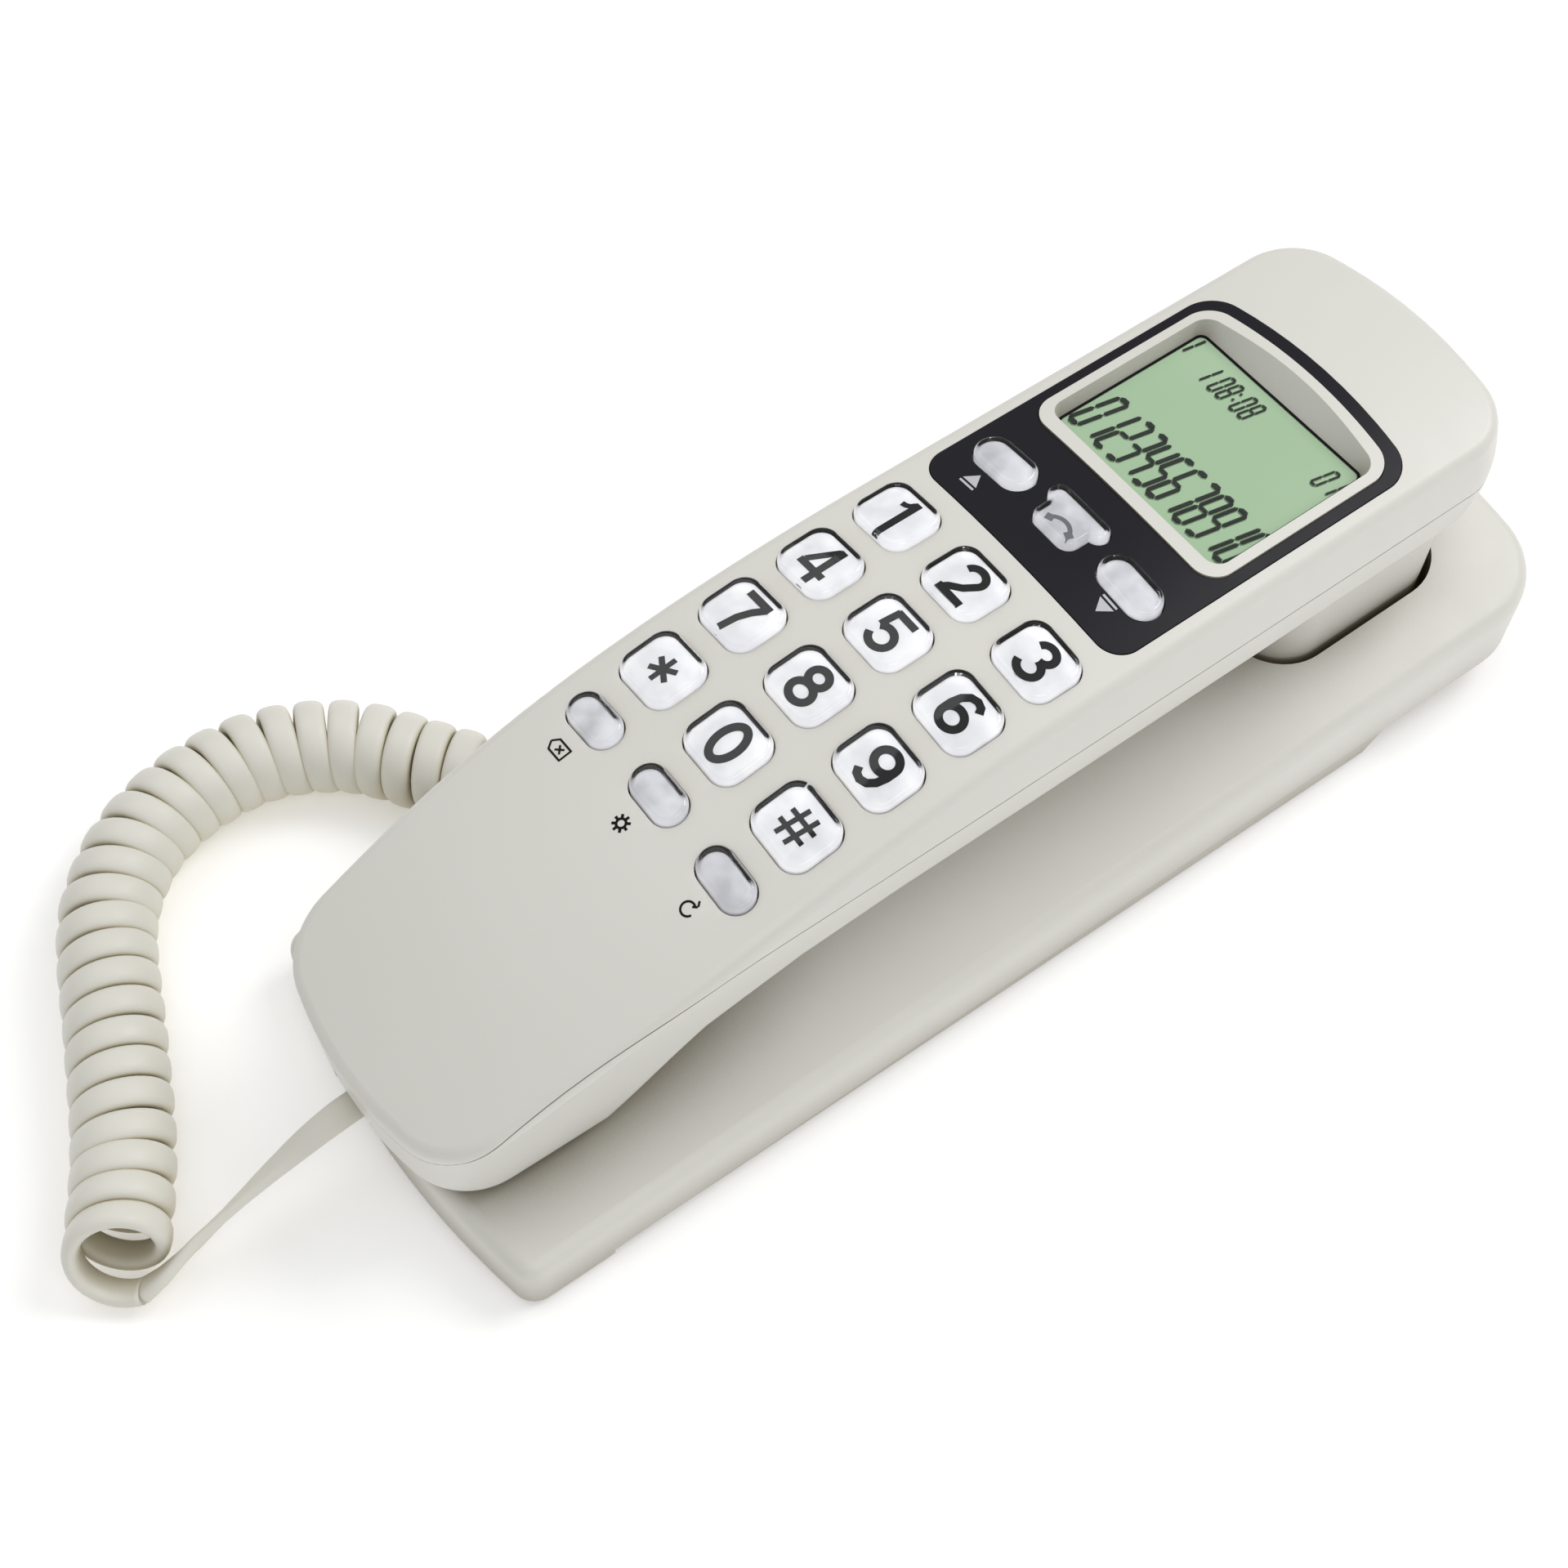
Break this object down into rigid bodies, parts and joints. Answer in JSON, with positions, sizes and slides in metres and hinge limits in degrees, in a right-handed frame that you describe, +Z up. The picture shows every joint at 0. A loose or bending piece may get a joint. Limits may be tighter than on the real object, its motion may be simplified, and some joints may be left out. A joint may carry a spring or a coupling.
{
  "type": "corded landline telephone",
  "caption": "Corded desk telephone: slim display handset with keypad resting face up in a wedge base, joined by a coiled cord.",
  "frame": {"origin": "on the table under the middle of the base's footprint", "axes": "+Z up, +Y towards the ear end of the handset, +X towards the right-hand column of keys"},
  "size_m": [0.1162, 0.2729, 0.0664],
  "materials": {
    "ivory_plastic": "satin",
    "rubber": "matte",
    "screw_steel": "brushed",
    "circuit_board": "gloss",
    "brass_disc": "satin",
    "black_plastic": "matte",
    "clear_plastic": "gloss",
    "cord_ivory": "satin",
    "dark_panel": "satin",
    "display_green": "gloss",
    "white_plastic": "matte",
    "grey_rubber": "matte",
    "receiver_steel": "satin",
    "clear_key": "clear gloss"
  },
  "bodies": {
    "base": {"base_housing": "ivory_plastic", "base_cover": "ivory_plastic", "base_feet": "rubber", "base_screws": "screw_steel", "base_circuit_board": "circuit_board", "ringer_disc": "brass_disc", "hook_switch": "black_plastic", "base_cord_jack": "black_plastic", "line_jack": "black_plastic", "cord_plug_base": "clear_plastic", "coiled_cord": "cord_ivory"},
    "hook": {"hook_plunger": "white_plastic"},
    "handset": {"handset_upper_shell": "ivory_plastic", "handset_lower_shell": "ivory_plastic", "display_panel": "dark_panel", "display_frame": "ivory_plastic", "display_glass": "display_green", "display_holder": "white_plastic", "display_connector": "grey_rubber", "keypad_mat": "grey_rubber", "handset_circuit_board": "circuit_board", "receiver_gasket": "grey_rubber", "receiver": "receiver_steel", "microphone_boot": "grey_rubber", "microphone": "receiver_steel", "handset_cord_jack": "black_plastic", "cord_plug_handset": "clear_plastic", "cord_tail": "cord_ivory", "handset_screws": "screw_steel"},
    "key_1": {"key_1": "clear_key"},
    "key_2": {"key_2": "clear_key"},
    "key_3": {"key_3": "clear_key"},
    "key_4": {"key_4": "clear_key"},
    "key_5": {"key_5": "clear_key"},
    "key_6": {"key_6": "clear_key"},
    "key_7": {"key_7": "clear_key"},
    "key_8": {"key_8": "clear_key"},
    "key_9": {"key_9": "clear_key"},
    "key_star": {"key_star": "clear_key"},
    "key_0": {"key_0": "clear_key"},
    "key_hash": {"key_hash": "clear_key"},
    "key_function_left": {"key_function_left": "clear_key"},
    "key_function_middle": {"key_function_middle": "clear_key"},
    "key_function_right": {"key_function_right": "clear_key"},
    "key_list_up": {"key_list_up": "clear_key"},
    "key_call": {"key_call": "clear_key"},
    "key_list_down": {"key_list_down": "clear_key"}
  },
  "joints": [
    {"name": "handset_lift", "type": "slide", "parent": "base", "child": "handset", "axis": [0, 0, 1], "range_m": [0, 0.1]},
    {"name": "hook_rise", "type": "slide", "parent": "base", "child": "hook", "axis": [0, 0, 1], "range_m": [0, 0.003]},
    {"name": "key_1_press", "type": "slide", "parent": "handset", "child": "key_1", "axis": [0, 0.0426, -0.9991], "range_m": [0, 0.0012], "stiffness_N_per_m": 300},
    {"name": "key_2_press", "type": "slide", "parent": "handset", "child": "key_2", "axis": [0, 0.0426, -0.9991], "range_m": [0, 0.0012], "stiffness_N_per_m": 300},
    {"name": "key_3_press", "type": "slide", "parent": "handset", "child": "key_3", "axis": [0, 0.0426, -0.9991], "range_m": [0, 0.0012], "stiffness_N_per_m": 300},
    {"name": "key_4_press", "type": "slide", "parent": "handset", "child": "key_4", "axis": [0, 0.0426, -0.9991], "range_m": [0, 0.0012], "stiffness_N_per_m": 300},
    {"name": "key_5_press", "type": "slide", "parent": "handset", "child": "key_5", "axis": [0, 0.0426, -0.9991], "range_m": [0, 0.0012], "stiffness_N_per_m": 300},
    {"name": "key_6_press", "type": "slide", "parent": "handset", "child": "key_6", "axis": [0, 0.0426, -0.9991], "range_m": [0, 0.0012], "stiffness_N_per_m": 300},
    {"name": "key_7_press", "type": "slide", "parent": "handset", "child": "key_7", "axis": [0, 0.0426, -0.9991], "range_m": [0, 0.0012], "stiffness_N_per_m": 300},
    {"name": "key_8_press", "type": "slide", "parent": "handset", "child": "key_8", "axis": [0, 0.0426, -0.9991], "range_m": [0, 0.0012], "stiffness_N_per_m": 300},
    {"name": "key_9_press", "type": "slide", "parent": "handset", "child": "key_9", "axis": [0, 0.0426, -0.9991], "range_m": [0, 0.0012], "stiffness_N_per_m": 300},
    {"name": "key_star_press", "type": "slide", "parent": "handset", "child": "key_star", "axis": [0, 0.0426, -0.9991], "range_m": [0, 0.0012], "stiffness_N_per_m": 300},
    {"name": "key_0_press", "type": "slide", "parent": "handset", "child": "key_0", "axis": [0, 0.0426, -0.9991], "range_m": [0, 0.0012], "stiffness_N_per_m": 300},
    {"name": "key_hash_press", "type": "slide", "parent": "handset", "child": "key_hash", "axis": [0, 0.0426, -0.9991], "range_m": [0, 0.0012], "stiffness_N_per_m": 300},
    {"name": "key_function_left_press", "type": "slide", "parent": "handset", "child": "key_function_left", "axis": [0, 0.0426, -0.9991], "range_m": [0, 0.0012], "stiffness_N_per_m": 300},
    {"name": "key_function_middle_press", "type": "slide", "parent": "handset", "child": "key_function_middle", "axis": [0, 0.0426, -0.9991], "range_m": [0, 0.0012], "stiffness_N_per_m": 300},
    {"name": "key_function_right_press", "type": "slide", "parent": "handset", "child": "key_function_right", "axis": [0, 0.0426, -0.9991], "range_m": [0, 0.0012], "stiffness_N_per_m": 300},
    {"name": "key_list_up_press", "type": "slide", "parent": "handset", "child": "key_list_up", "axis": [0, 0.0426, -0.9991], "range_m": [0, 0.0012], "stiffness_N_per_m": 300},
    {"name": "key_call_press", "type": "slide", "parent": "handset", "child": "key_call", "axis": [0, 0.0426, -0.9991], "range_m": [0, 0.0012], "stiffness_N_per_m": 300},
    {"name": "key_list_down_press", "type": "slide", "parent": "handset", "child": "key_list_down", "axis": [0, 0.0426, -0.9991], "range_m": [0, 0.0012], "stiffness_N_per_m": 300}
  ],
  "couplings": [
    {"joint": "hook_rise", "follows": "handset_lift", "ratio": 0.03}
  ]
}
